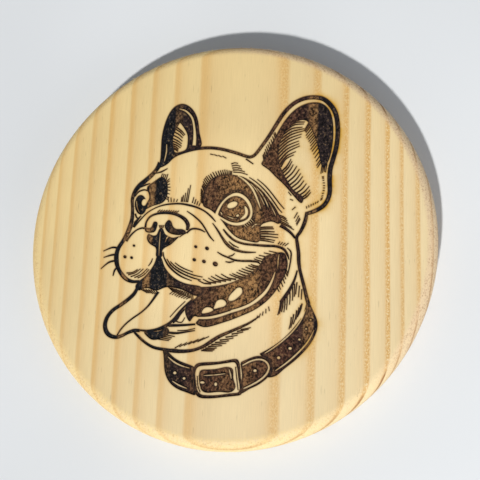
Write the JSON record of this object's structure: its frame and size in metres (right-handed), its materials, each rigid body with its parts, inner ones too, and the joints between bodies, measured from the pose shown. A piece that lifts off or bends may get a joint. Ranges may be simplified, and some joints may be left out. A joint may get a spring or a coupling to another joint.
{
  "type": "laser-engraved wooden disc",
  "caption": "Round pine board with rounded edges and a bulldog portrait burnt into its face by a laser; a coaster or plaque.",
  "frame": {"origin": "centre of the underside", "axes": "+Z out of the engraved face, +Y up the picture and along the grain, +X to the picture's right"},
  "size_m": [0.1, 0.1, 0.01],
  "materials": {
    "pine": "sanded, unfinished, flat-sawn grain along Y",
    "char": "burnt by laser, matte, near-black on early wood and dark brown on late wood"
  },
  "bodies": {
    "root": {"pine_board": "pine", "char_far_ear": "char", "char_near_ear": "char", "char_head_outline": "char", "char_far_eye_patch": "char", "char_far_eye": "char", "char_near_eye": "char", "char_near_eye_patch": "char", "char_brow_hatching": "char", "char_nose_folds": "char", "char_nose": "char", "char_muzzle_lines": "char", "char_muzzle_shading": "char", "char_whiskers": "char", "char_whisker_pits": "char", "char_mouth_front": "char", "char_lips": "char", "char_mouth_cavity": "char", "char_tongue": "char", "char_chin": "char", "char_neck_fur": "char", "char_collar_buckle": "char", "char_collar_end": "char", "char_collar_strap": "char"}
  },
  "joints": []
}
